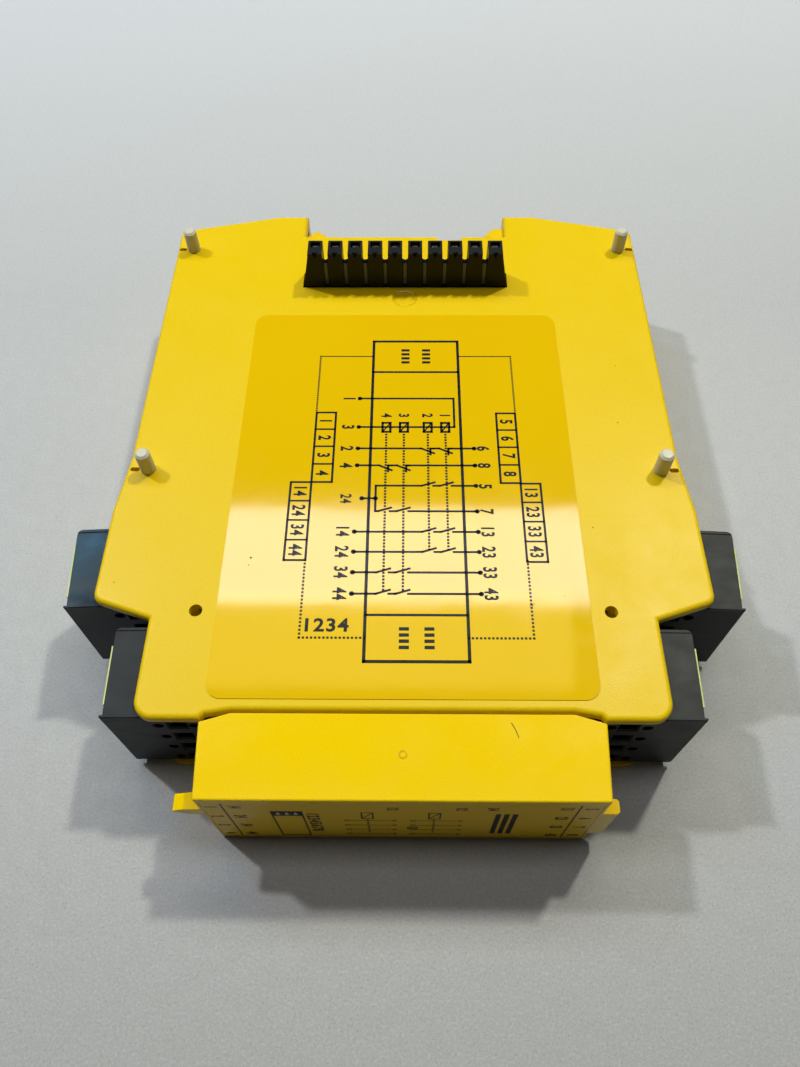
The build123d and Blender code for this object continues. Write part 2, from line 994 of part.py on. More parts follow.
def front_cap():
    cap = prism(cap_ring(0, 0), cap_lift, width - cap_lift)
    front_edges = cap.faces().sort_by(Axis.Y)[0].edges()
    long_edges = [e for e in cap.edges().filter_by(Axis.Z, reverse=True) if e not in front_edges]
    rear_limit = cap_shoulder_y + cap_edge
    long_edges = [e for e in long_edges if e.center().Y < rear_limit]
    cap = fillet(front_edges + long_edges, cap_edge)
    z0 = cap_lift + cap_wall
    inside = prism(cap_ring(cap_wall, cap_wall), z0, width - z0)
    cap -= inside
    for piece in cap_hooks():
        cap += piece
    cap += finger_catch()
    cap += hinge_block()
    rooms = both_halves(plug_places()["front"] * plug_room(0))
    cap -= Pos(0, 0, wall) * extrude(rooms, inner_top - wall)
    return cap - front_film_box(film_sink, film_sink)


def front_label():
    return front_film_box(0, 0)


def side_label():
    middle = (side_film_rear_y + side_film_front_y) / 2
    tall = side_film_rear_y - side_film_front_y
    sheet = RectangleRounded(2 * side_film_half, tall, side_film_radius)
    return Pos(0, middle, width) * extrude(sheet, film_thick)


def save(name, shape):
    if isinstance(shape, list):
        shape = Compound(children=[part.solid() for part in shape])
    elif len(shape.solids()) == 1:
        shape = shape.solid()
    export_step(shape, f"parts/{name}.step")


def save_plug_station(row, place):
    pieces = {
        f"plug_{row}": plug_body(),
        f"clamps_{row}": clamp_set(),
        f"marker_{row}": marker_strip(),
        f"header_{row}": header(),
        f"header_pins_{row}": header_pins(),
    }
    for name, shape in pieces.items():
        group = shape if isinstance(shape, list) else [shape]
        right = [place * part for part in group]
        left = [mirror(part, Plane.YZ) for part in right]
        save(f"{name}_right", right if len(right) > 1 else right[0])
        save(f"{name}_left", left if len(left) > 1 else left[0])


save("housing_base", housing_base())
save("side_cover", side_cover())
save("front_cap", front_cap())
save("front_label", front_label())
save("side_label", side_label())
save("main_board", main_board())
for i in range(4):
    save(f"relay_{i + 1}", relay((i - 1.5) * relay_pitch))
contacts = bus_contacts()
save("bus_plug", bus_plug(contacts))
save("bus_socket", bus_socket(contacts))
save("bus_contacts", contacts)
for name, place in pin_places().items():
    save(f"link_pin_{name}", link_pin(*place))
for row, place in plug_places().items():
    save_plug_station(row, place)
save("rail_latch", rail_latch())
save("latch_spring", latch_spring())
save("capacitor_left", capacitor(-capacitor_half))
save("capacitor_right", capacitor(capacitor_half))
save("control_chip", control_chip())
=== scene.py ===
import math

import bmesh
import bpy
from mathutils import Matrix, Vector


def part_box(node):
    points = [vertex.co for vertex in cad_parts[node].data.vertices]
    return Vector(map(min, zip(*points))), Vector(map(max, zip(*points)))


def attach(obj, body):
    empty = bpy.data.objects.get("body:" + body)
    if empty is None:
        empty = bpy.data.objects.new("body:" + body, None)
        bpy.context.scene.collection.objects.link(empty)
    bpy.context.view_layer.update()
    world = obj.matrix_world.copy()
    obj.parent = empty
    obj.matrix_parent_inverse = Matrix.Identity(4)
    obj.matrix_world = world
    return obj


# Sizes and places are in millimetres and turned into metres by MM, apart from those of the lamps
# and the floor, which are in metres
MM = 0.001
ROOT = "module"

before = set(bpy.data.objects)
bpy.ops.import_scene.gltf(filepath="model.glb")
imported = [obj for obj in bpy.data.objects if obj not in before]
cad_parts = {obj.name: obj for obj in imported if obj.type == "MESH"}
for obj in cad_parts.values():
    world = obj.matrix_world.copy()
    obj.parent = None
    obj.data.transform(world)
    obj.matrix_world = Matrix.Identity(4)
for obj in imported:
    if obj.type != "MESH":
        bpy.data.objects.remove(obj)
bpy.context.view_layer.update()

# Camera, at the photograph's viewing angle: its place in millimetres, its axes as unit vectors
PHOTO_HEIGHT = 1067
FOCAL_PIXELS = 827.49
SENSOR = 36.0
NEAR_CLIP = 10.0 * MM
CAMERA_AT = (0.711, -88.446, 134.920)
CAMERA_RIGHT = (0.99994897, 0.00766578, -0.00658025)
CAMERA_UP = (-0.00302329, 0.8485498, 0.52910689)
CAMERA_BACK = (0.00963969, -0.52905999, 0.84852967)


def add_camera():
    data = bpy.data.cameras.new("camera")
    data.sensor_width = SENSOR
    data.lens = FOCAL_PIXELS * SENSOR / PHOTO_HEIGHT
    data.clip_start = NEAR_CLIP
    camera = bpy.data.objects.new("camera", data)
    turn = Matrix((CAMERA_RIGHT, CAMERA_UP, CAMERA_BACK)).transposed().to_4x4()
    camera.matrix_world = Matrix.Translation(Vector(CAMERA_AT) * MM) @ turn
    bpy.context.scene.collection.objects.link(camera)
    bpy.context.scene.camera = camera
    bpy.context.scene.view_settings.view_transform = "Standard"


# Sockets that a colour mix uses, among those that the mix node has for every kind of value
MIX_FACTOR = 0
MIX_FIRST = 6
MIX_SECOND = 7
MIX_RESULT = 2
BEVEL_SAMPLES = 4


# Node material around one surface shader: textures take their sizes in millimetres, and range()
# spreads a stretch of a texture's values over the stretch from low to high
class Material:
    def __init__(self, name):
        self.material = bpy.data.materials.new(name)
        self.material.use_nodes = True
        self.tree = self.material.node_tree
        self.shader = self.tree.nodes["Principled BSDF"]
        self.place = self.node("ShaderNodeTexCoord").outputs["Object"]

    def node(self, kind, **settings):
        made = self.tree.nodes.new(kind)
        for key, value in settings.items():
            setattr(made, key, value)
        return made

    def link(self, source, target):
        self.tree.links.new(source, target)

    def set(self, **values):
        for key, value in values.items():
            self.shader.inputs[key.replace("_", " ")].default_value = value

    def noise(self, size_mm, detail=2.0, roughness=0.5, stretch=(1, 1, 1)):
        texture = self.node("ShaderNodeTexNoise")
        texture.inputs["Scale"].default_value = 1.0 / (size_mm * MM)
        texture.inputs["Detail"].default_value = detail
        texture.inputs["Roughness"].default_value = roughness
        mapping = self.node("ShaderNodeMapping")
        mapping.inputs["Scale"].default_value = stretch
        self.link(self.place, mapping.inputs["Vector"])
        self.link(mapping.outputs["Vector"], texture.inputs["Vector"])
        return texture.outputs["Fac"]

    def range(self, value, low, high, from_low=0.3, from_high=0.7):
        node = self.node("ShaderNodeMapRange")
        node.inputs["From Min"].default_value = from_low
        node.inputs["From Max"].default_value = from_high
        node.inputs["To Min"].default_value = low
        node.inputs["To Max"].default_value = high
        self.link(value, node.inputs["Value"])
        return node.outputs["Result"]

    def mix(self, factor, first, second):
        node = self.node("ShaderNodeMix", data_type="RGBA")
        colours = (node.inputs[MIX_FIRST], node.inputs[MIX_SECOND])
        for value, socket in zip((first, second), colours):
            if isinstance(value, tuple):
                socket.default_value = (*value, 1.0)
            else:
                self.link(value, socket)
        if isinstance(factor, float):
            node.inputs[MIX_FACTOR].default_value = factor
        else:
            self.link(factor, node.inputs[MIX_FACTOR])
        return node.outputs[MIX_RESULT]

    def bump(self, height, distance_mm, strength=1.0, below=None):
        node = self.node("ShaderNodeBump")
        node.inputs["Strength"].default_value = strength
        node.inputs["Distance"].default_value = distance_mm * MM
        self.link(height, node.inputs["Height"])
        if below is not None:
            self.link(below, node.inputs["Normal"])
        return node.outputs["Normal"]

    def rounding(self, radius_mm):
        node = self.node("ShaderNodeBevel", samples=BEVEL_SAMPLES)
        node.inputs["Radius"].default_value = radius_mm * MM
        return node.outputs["Normal"]

    def colour(self, socket):
        self.link(socket, self.shader.inputs["Base Color"])

    def rough(self, socket):
        self.link(socket, self.shader.inputs["Roughness"])

    def normal(self, socket):
        self.link(socket, self.shader.inputs["Normal"])


HOUSING_YELLOW = (0.70, 0.474, 0.0008)
CAP_YELLOW = (0.785, 0.525, 0.0005)
LATCH_YELLOW = (0.70, 0.45, 0.002)
DIMPLE_YELLOW = (0.70, 0.483, 0.0008)
GATE_YELLOW = (0.62, 0.38, 0.001)
FILM_YELLOW = (0.66, 0.414, 0.0003)
FRONT_FILM_YELLOW = (0.78, 0.50, 0.001)
PLUG_BLACK = (0.011, 0.012, 0.0125)
CONNECTOR_BLACK = (0.009, 0.010, 0.010)
SCUFF_GREY = (0.035, 0.035, 0.034)
DUST_GREY = (0.08, 0.08, 0.075)
SIDE_INK = (0.010, 0.013, 0.016)
FRONT_INK = (0.012, 0.010, 0.006)
DIRT_BROWN = (0.025, 0.018, 0.012)


# Moulded yellow plastic: fine grain, faint flow marks, slightly rubbed, speckled by its grain
def yellow_plastic(
    name, base=HOUSING_YELLOW, grain_mm=0.19, grain_deep=0.034, rough=0.34, gloss=0.15
):
    m = Material(name)
    flow = m.noise(38.0, 3.0, 0.6, (1.0, 0.45, 1.0))
    tone = m.mix(m.range(flow, 0.0, 1.0), base, (base[0] * 0.98, base[1] * 0.955, base[2]))
    rubbed = m.range(m.noise(2.4, 5.0, 0.65), 0.0, 0.10, 0.60, 0.80)
    tone = m.mix(rubbed, tone, tuple(1.04 * c + 0.004 for c in base))
    speckle = m.range(m.noise(0.24, 2.0, 0.6), 0.0, 0.5, 0.38, 0.62)
    m.colour(m.mix(speckle, tone, tuple(0.87 * c for c in base)))
    m.rough(m.range(m.noise(9.0, 4.0, 0.6), rough - 0.05, rough + 0.08))
    m.set(Specular_IOR_Level=gloss)
    grain = m.noise(grain_mm, 1.5, 0.5)
    m.normal(m.bump(grain, grain_deep, 0.6, m.rounding(0.12)))
    return m.material


# Smooth printed film, with a slight waviness that bends reflections
def film(name, base=FILM_YELLOW, rough=0.05, wave=0.03, gloss=0.5):
    m = Material(name)
    wash = m.noise(30.0, 2.0)
    m.colour(m.mix(m.range(wash, 0.0, 1.0), base, (base[0] * 0.985, base[1] * 0.965, base[2])))
    m.rough(m.range(m.noise(6.0, 5.0, 0.7), rough, rough + 0.05, 0.35, 0.8))
    m.set(Specular_IOR_Level=gloss)
    m.normal(m.bump(m.noise(9.0, 2.0, 0.45), wave, 0.5))
    return m.material


# Printing ink, and by its colour and roughness also dirt
def ink(name, base=SIDE_INK, rough=0.12):
    m = Material(name)
    m.colour(m.mix(m.range(m.noise(0.5, 3.0), 0.0, 1.0), base, tuple(1.6 * c for c in base)))
    m.rough(m.range(m.noise(3.0, 3.0), rough, rough + 0.08))
    m.set(Specular_IOR_Level=0.09)
    return m.material


# Black moulded plastic with dust and fine scuffs
def black_plastic(name, base=PLUG_BLACK, rough=0.42, scuff=0.40, patchy=0.05):
    m = Material(name)
    dust = m.range(m.noise(0.30, 4.0, 0.7), 0.0, 0.30, 0.67, 0.80)
    tone = m.mix(m.range(m.noise(7.0, 4.0), 0.0, 1.0), base, tuple(1.2 * c for c in base))
    streaks = m.range(m.noise(0.55, 3.0, 0.6, (0.08, 1.0, 0.8)), 0.0, scuff, 0.70, 0.84)
    tone = m.mix(streaks, tone, SCUFF_GREY)
    m.colour(m.mix(dust, tone, DUST_GREY))
    m.rough(m.range(m.noise(2.6, 3.0, 0.5, (0.6, 1.0, 1.0)), rough - 0.03, rough + patchy))
    m.set(Specular_IOR_Level=0.12)
    m.normal(m.bump(m.noise(0.16, 2.0), 0.006, 0.5, m.rounding(0.10)))
    return m.material


HANDLED = (0.8, 0.76, 0.66)


# Pale plastic or card, greyed and yellowed in places by handling
def pale_plastic(name, base, rough=0.45):
    m = Material(name)
    dirt = m.range(m.noise(1.3, 5.0, 0.6), 0.0, 0.35, 0.55, 0.80)
    m.colour(m.mix(dirt, base, tuple(b * f for b, f in zip(base, HANDLED))))
    m.rough(m.range(m.noise(2.2, 3.0), rough - 0.06, rough + 0.1))
    m.normal(m.bump(m.noise(0.3, 2.0), 0.008, 0.5, m.rounding(0.12)))
    return m.material


# Drawn or rolled metal, with fine lines along the stretch
def metal(name, base=(0.72, 0.70, 0.66), rough=0.28, stretch=(1.0, 1.0, 0.06)):
    m = Material(name)
    lines = m.noise(0.12, 3.0, 0.6, stretch)
    m.colour(m.mix(m.range(m.noise(1.5, 4.0), 0.0, 1.0), base, tuple(0.82 * c for c in base)))
    m.rough(m.range(lines, rough - 0.06, rough + 0.12))
    m.set(Metallic=1.0)
    m.normal(m.bump(lines, 0.004, 0.5, m.rounding(0.05)))
    return m.material


RESIST_GREEN = (0.01, 0.13, 0.045)
RESIST_LIGHT = (0.014, 0.17, 0.06)
RESIST_DARK = (0.008, 0.09, 0.03)


# Glass-fibre board: green resist over a faint woven pattern
def board(name):
    m = Material(name)
    weave = m.node("ShaderNodeTexWave", wave_type="BANDS", bands_direction="X")
    weave.inputs["Scale"].default_value = 900.0
    weave.inputs["Distortion"].default_value = 0.6
    m.link(m.place, weave.inputs["Vector"])
    base = m.mix(m.range(weave.outputs["Fac"], 0.0, 1.0), RESIST_GREEN, RESIST_LIGHT)
    m.colour(m.mix(m.range(m.noise(5.0, 4.0), 0.0, 0.5), base, RESIST_DARK))
    m.rough(m.range(m.noise(1.0, 3.0), 0.22, 0.36))
    m.normal(m.bump(weave.outputs["Fac"], 0.01, 0.3))
    return m.material


# Plain moulded plastic of the inner pieces
def moulded(name, base, rough):
    m = Material(name)
    m.colour(m.mix(m.range(m.noise(4.0, 4.0), 0.0, 1.0), base, tuple(0.86 * c for c in base)))
    m.rough(m.range(m.noise(1.5, 4.0), rough - 0.05, rough + 0.08))
    m.normal(m.bump(m.noise(0.2, 2.0), 0.006, 0.5, m.rounding(0.15)))
    return m.material


# Colour of the backdrop, which the far floor and the world near the horizon share
BACKDROP = (0.55, 0.563, 0.57, 1.0)


# Rays that see the backdrop: straight from the camera, or by way of a glossy or clear surface,
# where glossy_share can hold it back
def backdrop_rays(tree, glossy_share=None):
    path = tree.nodes.new("ShaderNodeLightPath")
    seen = tree.nodes.new("ShaderNodeMath")
    seen.operation = "MAXIMUM"
    tree.links.new(path.outputs["Is Glossy Ray"], seen.inputs[0])
    tree.links.new(path.outputs["Is Transmission Ray"], seen.inputs[1])
    by_surface = seen.outputs[0]
    if glossy_share is not None:
        share = tree.nodes.new("ShaderNodeMath")
        share.operation = "MULTIPLY"
        tree.links.new(by_surface, share.inputs[0])
        tree.links.new(glossy_share, share.inputs[1])
        by_surface = share.outputs[0]
    both = tree.nodes.new("ShaderNodeMath")
    both.operation = "MAXIMUM"
    tree.links.new(path.outputs["Is Camera Ray"], both.inputs[0])
    tree.links.new(by_surface, both.inputs[1])
    return both.outputs[0]


# Floor tones in front of, under and behind the object, and where each gives way to the next: the
# front tone is painted shade warmed by painted bounce light, the rear tone painted light
FLOOR_FRONT_PAINTED_SHADE = (0.282, 0.274, 0.268)
FLOOR_MIDDLE = (0.402, 0.402, 0.412)
FLOOR_MIDDLE_CLOUDED = (0.370, 0.372, 0.382)
FLOOR_REAR_PAINTED_LIGHT = (0.485, 0.493, 0.523)
FLOOR_FIBRE = (0.58, 0.575, 0.57)
FLOOR_PORE = (0.16, 0.157, 0.155)
FRONT_TONE_FROM = -0.125
FRONT_TONE_TO = -0.03
REAR_TONE_FROM = 0.06
REAR_TONE_TO = 0.20
BACKDROP_FROM = 0.24
BACKDROP_TO = 0.40


# Pale table cover of fine grain, which runs into the backdrop far from the object
def floor_material():
    m = Material("floor_cover")
    cloud = m.noise(160.0, 3.0, 0.5, (0.5, 1.6, 1.0))
    parts = m.node("ShaderNodeSeparateXYZ")
    m.link(m.place, parts.inputs["Vector"])
    # Painted shade darkens the floor in front of the object, and painted light brightens and cools
    # it behind
    near = m.range(parts.outputs["Y"], 1.0, 0.0, FRONT_TONE_FROM, FRONT_TONE_TO)
    far = m.range(parts.outputs["Y"], 0.0, 1.0, REAR_TONE_FROM, REAR_TONE_TO)
    middle_tone = m.mix(m.range(cloud, 0.0, 1.0), FLOOR_MIDDLE, FLOOR_MIDDLE_CLOUDED)
    tone = m.mix(near, middle_tone, FLOOR_FRONT_PAINTED_SHADE)
    tone = m.mix(far, tone, FLOOR_REAR_PAINTED_LIGHT)
    fibre = m.range(m.noise(0.45, 3.0, 0.7), 0.0, 0.34, 0.48, 0.78)
    tone = m.mix(fibre, tone, FLOOR_FIBRE)
    pores = m.range(m.noise(0.33, 2.0, 0.6), 0.0, 0.42, 0.54, 0.74)
    m.colour(m.mix(pores, tone, FLOOR_PORE))
    m.rough(m.range(m.noise(3.0), 0.62, 0.78))
    m.normal(m.bump(m.noise(0.55, 3.0, 0.6), 0.07, 0.6))
    reach = m.node("ShaderNodeVectorMath", operation="LENGTH")
    m.link(m.place, reach.inputs[0])
    share = m.node("ShaderNodeMath", operation="MULTIPLY")
    away = m.range(reach.outputs["Value"], 0.0, 1.0, BACKDROP_FROM, BACKDROP_TO)
    m.link(away, share.inputs[0])
    m.link(backdrop_rays(m.tree), share.inputs[1])
    glow = m.node("ShaderNodeEmission")
    glow.inputs["Color"].default_value = BACKDROP
    mixed = m.node("ShaderNodeMixShader")
    m.link(share.outputs[0], mixed.inputs["Fac"])
    m.link(m.shader.outputs[0], mixed.inputs[1])
    m.link(glow.outputs[0], mixed.inputs[2])
    m.link(mixed.outputs[0], m.tree.nodes["Material Output"].inputs["Surface"])
    return m.material


# Mesh building
def new_object(name, mesh, material, body=ROOT):
    piece = bpy.data.objects.new(name, mesh)
    bpy.context.scene.collection.objects.link(piece)
    mesh.materials.clear()
    mesh.materials.append(material)
    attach(piece, body)
    return piece


# Font size for one millimetre of digit height, gap between digits, and how far strokes are fattened
DIGIT_TO_FONT_SIZE = 1.42
DIGIT_SPACING = 1.12
DIGIT_BOLDNESS = 0.042


# Flat print drawn in a plane's own millimetres, as thin tiles that stand a hair above the film
class Print:
    def __init__(self, origin, across, up, out, lift=0.02):
        self.mesh = bmesh.new()
        self.origin = Vector(origin)
        self.across = Vector(across)
        self.up = Vector(up)
        self.out = Vector(out)
        self.lift = lift

    def at(self, x, y, height):
        return (self.origin + self.across * x + self.up * y + self.out * height) * MM

    def polygon(self, points):
        top = [self.mesh.verts.new(self.at(x, y, self.lift)) for x, y in points]
        low = [self.mesh.verts.new(self.at(x, y, -self.lift)) for x, y in points]
        self.mesh.faces.new(top)
        self.mesh.faces.new(list(reversed(low)))
        count = len(points)
        for i in range(count):
            j = (i + 1) % count
            self.mesh.faces.new((top[j], top[i], low[i], low[j]))

    def rectangle(self, x0, y0, x1, y1):
        self.polygon([(x0, y0), (x1, y0), (x1, y1), (x0, y1)])

    def line(self, start, end, thick):
        a = Vector(start)
        b = Vector(end)
        run = (b - a).normalized() * thick / 2
        side = Vector((-run.y, run.x))
        corners = (a - run - side, b + run - side, b + run + side, a - run + side)
        self.polygon([tuple(p) for p in corners])

    def frame(self, x0, y0, x1, y1, thick):
        corners = [(x0, y0), (x1, y0), (x1, y1), (x0, y1)]
        for start, end in zip(corners, corners[1:] + corners[:1]):
            self.line(start, end, thick)

    def dots(self, start, end, pitch, size):
        a = Vector(start)
        b = Vector(end)
        count = max(1, round((b - a).length / pitch))
        for i in range(count + 1):
            p = a.lerp(b, i / count)
            self.rectangle(p.x - size / 2, p.y - size / 2, p.x + size / 2, p.y + size / 2)

    def disc(self, x, y, radius, sides=14):
        turns = [2 * math.pi * i / sides for i in range(sides)]
        self.polygon([(x + radius * math.cos(t), y + radius * math.sin(t)) for t in turns])

    # Plain number, centred, read along the plane's x or turned by quarter turns
    def number(self, text, x, y, height, turns=0, narrow=0.70):
        curve = bpy.data.curves.new("number", "FONT")
        curve.body = text
        curve.size = DIGIT_TO_FONT_SIZE * height
        curve.space_character = DIGIT_SPACING
        curve.offset = DIGIT_BOLDNESS * height
        curve.align_x = "CENTER"
        curve.align_y = "CENTER"
        curve.resolution_u = 3
        letters = bpy.data.objects.new("number", curve)
        bpy.context.scene.collection.objects.link(letters)
        bpy.context.view_layer.update()
        flat = bpy.data.meshes.new_from_object(letters)
        shape = bmesh.new()
        shape.from_mesh(flat)
        low = [min(v.co[i] for v in shape.verts) for i in (0, 1)]
        high = [max(v.co[i] for v in shape.verts) for i in (0, 1)]
        middle = [(a + b) / 2 for a, b in zip(low, high)]
        turn = Matrix.Rotation(turns * math.pi / 2, 2)
        for face in shape.faces:
            points = []
            for v in face.verts:
                p = turn @ Vector(((v.co.x - middle[0]) * narrow, v.co.y - middle[1]))
                points.append((x + p.x, y + p.y))
            self.polygon(points)
        shape.free()
        bpy.data.objects.remove(letters)
        bpy.data.curves.remove(curve)
        bpy.data.meshes.remove(flat)

    def finish(self, name, material, body=ROOT):
        mesh = bpy.data.meshes.new(name)
        bmesh.ops.recalc_face_normals(self.mesh, faces=self.mesh.faces)
        self.mesh.to_mesh(mesh)
        self.mesh.free()
        return new_object(name, mesh, material, body)


# Wiring plan on the side film: frame, coils, contacts, leads and numbered terminals. Rows are
# places along the film's depth, columns along its width
PLAN_LEFT = -5.72
PLAN_RIGHT = 9.78
PLAN_REAR = 23.86
PLAN_FRONT = -40.45
PLAN_BUS_REAR = 16.2
PLAN_BUS_FRONT = -32.9
PLAN_LINE = 0.50
BUS_LINE = 0.42
LEAD_LINE = 0.38
CONTACT_LINE = 0.38
COIL_LINE = 0.42
COIL_STROKE = 0.24
COIL_HALF_WIDE = 0.68
COIL_HALF_HIGH = 1.0
DOT_RADIUS = 0.42
LINK_COLUMNS = (-3.08, -0.05, 4.08, 7.12)
LEFT_DOT = -7.9
RIGHT_DOT = 11.96
FEED_END = 8.72
FEED_ROW = 9.88
RETURN_ROW = 3.38
COIL_ROW = 3.32
CLOSING_ROWS = (-1.3, -4.9)
BRIDGED_ROWS = (-9.08, -14.15)
OPENING_ROWS = (-18.1, -21.84, -25.55, -29.3)
BRIDGE_X = -4.65
BRIDGE_TAP_X = -6.9
BRIDGE_TAP_ROW = -11.63
LINK_TOP = 1.7
OUTER_LINKS_END = -28.6
INNER_LINKS_END = -21.4
TERMINAL_CELL = 3.75
TERMINAL_FRAME = 0.38
TERMINAL_DIVIDER = 0.34
TERMINAL_DIGIT = 2.05
LINK_DIGIT = 1.75
LEFT_DIGITS_X = -9.75
RIGHT_DIGITS_X = 13.5

# A contact's open arm: where the lead stops before the gap, and where it goes on behind it
CONTACT_BEFORE = 1.13
CONTACT_TIP = 1.0
OPEN_RISE = 0.68
OPEN_BEHIND = 0.84
CLOSED_DROP = 1.0
CLOSED_BEHIND = 0.42
CLOSED_POST = 1.25
CLOSED_SEAT = 0.02

# Rows of short bars in the plan's end boxes
BOX_ROWS = (20.1, -36.7)
BOX_COLUMNS = (0.15, 3.95)
BAR_COUNT = 4
BAR_TOP = 1.5
BAR_PITCH = 1.0
BAR_HALF_LONG = 0.75
BAR_HALF_THICK = 0.28

# Feeds from the end boxes to the terminal blocks, a line and dotted lines
FEED_LINE_ROW = 20.07
FEED_LINE = 0.20
DOTTED_END = 6.6
DOTTED_FROM = -23.4
DOTTED_ROW = -36.68


def coil(page, x, y):
    left, right = x - COIL_HALF_WIDE, x + COIL_HALF_WIDE
    page.frame(left, y - COIL_HALF_HIGH, right, y + COIL_HALF_HIGH, COIL_LINE)
    page.line((x - 0.5, y - 0.75), (x + 0.5, y + 0.75), COIL_STROKE)


def lead(page, y, gaps, start, end, dots, closing=False):
    x = start
    for gap in gaps:
        before, tip = gap - CONTACT_BEFORE, gap + CONTACT_TIP
        page.line((x, y), (before, y), LEAD_LINE)
        if closing:
            post, seat = gap + CLOSED_BEHIND, y - CLOSED_SEAT
            page.line((before, y), (tip, y - CLOSED_DROP), CONTACT_LINE)
            page.line((post, seat), (post, y - CLOSED_POST), CONTACT_LINE)
            page.line((post, seat), (tip, seat), CONTACT_LINE)
            x = post
        else:
            page.line((before, y), (tip, y + OPEN_RISE), CONTACT_LINE)
            x = gap + OPEN_BEHIND
    page.line((x, y), (end, y), LEAD_LINE)
    for x in dots:
        page.disc(x, y, DOT_RADIUS)


def terminal_block(page, x0, x1, y_rear, numbers):
    y_front = y_rear - TERMINAL_CELL * len(numbers)
    page.frame(x0, y_front, x1, y_rear, TERMINAL_FRAME)
    for i, text in enumerate(numbers):
        y = y_rear - TERMINAL_CELL * (i + 0.5)
        page.number(text, (x0 + x1) / 2, y, TERMINAL_DIGIT, -1)
        if i:
            divider = y + TERMINAL_CELL / 2
            page.line((x0, divider), (x1, divider), TERMINAL_DIVIDER)


def box_bars(page, x, y):
    for i in range(BAR_COUNT):
        middle = y + BAR_TOP - i * BAR_PITCH
        low, high = middle - BAR_HALF_THICK, middle + BAR_HALF_THICK
        page.rectangle(x - BAR_HALF_LONG, low, x + BAR_HALF_LONG, high)


def side_print():
    page = Print(top_origin("side_label"), (1, 0, 0), (0, 1, 0), (0, 0, 1))
    page.frame(PLAN_LEFT, PLAN_FRONT, PLAN_RIGHT, PLAN_REAR, PLAN_LINE)
    for y in (PLAN_BUS_REAR, PLAN_BUS_FRONT):
        page.line((PLAN_LEFT, y), (PLAN_RIGHT, y), BUS_LINE)
    for y in BOX_ROWS:
        for x in BOX_COLUMNS:
            box_bars(page, x, y)
    for edge, outer in ((PLAN_LEFT, -15.45), (PLAN_RIGHT, 19.45)):
        page.line((edge, FEED_LINE_ROW), (outer, FEED_LINE_ROW), FEED_LINE)
        page.dots((outer, FEED_LINE_ROW), (outer, DOTTED_END), 0.5, 0.32)
        page.dots((outer, DOTTED_FROM), (outer, DOTTED_ROW), 0.62, 0.36)
        page.dots((outer, DOTTED_ROW), (edge, DOTTED_ROW), 0.62, 0.36)
    terminal_block(page, -15.4, -12.0, 6.63, ("1", "2", "3", "4"))
    terminal_block(page, -18.8, -15.4, -8.4, ("14", "24", "34", "44"))
    terminal_block(page, 16.1, 19.42, 6.5, ("5", "6", "7", "8"))
    terminal_block(page, 19.38, 22.64, -8.6, ("13", "23", "33", "43"))

    outer_links, inner_links = LINK_COLUMNS[:2], LINK_COLUMNS[2:]
    ends = (LEFT_DOT, RIGHT_DOT)
    page.line((LEFT_DOT, FEED_ROW), (FEED_END, FEED_ROW), LEAD_LINE)
    page.line((FEED_END, FEED_ROW), (FEED_END, RETURN_ROW), LEAD_LINE)
    page.disc(LEFT_DOT, FEED_ROW, DOT_RADIUS)
    page.line((LEFT_DOT, RETURN_ROW), (FEED_END, RETURN_ROW), LEAD_LINE)
    page.disc(LEFT_DOT, RETURN_ROW, DOT_RADIUS)
    for x in LINK_COLUMNS:
        coil(page, x, COIL_ROW)
    for y, gaps in zip(CLOSING_ROWS, (inner_links, outer_links)):
        lead(page, y, gaps, *ends, ends, True)
    for y, gaps in zip(BRIDGED_ROWS, (inner_links, outer_links)):
        lead(page, y, gaps, BRIDGE_X, RIGHT_DOT, (RIGHT_DOT,))
    page.line((BRIDGE_X, BRIDGED_ROWS[0]), (BRIDGE_X, BRIDGED_ROWS[1]), LEAD_LINE)
    page.line((BRIDGE_TAP_X, BRIDGE_TAP_ROW), (BRIDGE_X, BRIDGE_TAP_ROW), LEAD_LINE)
    page.disc(BRIDGE_TAP_X, BRIDGE_TAP_ROW, DOT_RADIUS)
    page.disc(BRIDGE_X, BRIDGE_TAP_ROW, DOT_RADIUS)
    gaps_by_row = (inner_links, inner_links, outer_links, outer_links)
    for y, gaps in zip(OPENING_ROWS, gaps_by_row):
        lead(page, y, gaps, *ends, ends)
    for columns, end in ((outer_links, OUTER_LINKS_END), (inner_links, INNER_LINKS_END)):
        for x in columns:
            page.dots((x, LINK_TOP), (x, end), 0.6, 0.38)
    for x, text in zip(LINK_COLUMNS, ("4", "3", "2", "1")):
        page.number(text, x, 6.0, LINK_DIGIT, -1)
    left = [(9.85, "1"), (3.4, "3"), *zip(CLOSING_ROWS, ("2", "4"))]
    left += zip(OPENING_ROWS, ("14", "24", "34", "44"))
    right = [*zip(CLOSING_ROWS, ("6", "8")), (-9.2, "5"), (-14.2, "7")]
    right += zip(OPENING_ROWS, ("13", "23", "33", "43"))
    for x, labels in ((LEFT_DIGITS_X, left), (RIGHT_DIGITS_X, right)):
        for y, text in labels:
            page.number(text, x, y, TERMINAL_DIGIT, -1)
    page.number("24", -9.5, -11.7, LINK_DIGIT, -1)
    page.number("1234", -11.4, -34.6, 2.1, 0, 1.1)
    page.finish("side_print", ink("side_ink"))


# Point on the front film's face from which its prints are measured
def front_origin():
    return (0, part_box("front_label")[0].y / MM, 0)


# Point straight above the origin, on top of a node
def top_origin(node):
    return (0, 0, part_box(node)[1].z / MM)


# How far specks and pale marks stand out, which is more than the prints do, and the hair's lift
SPECK_LIFT = 0.03
SPECK_SIDES = 7
HAIR_LIFT = 0.04
HAIR_THICK = 0.09


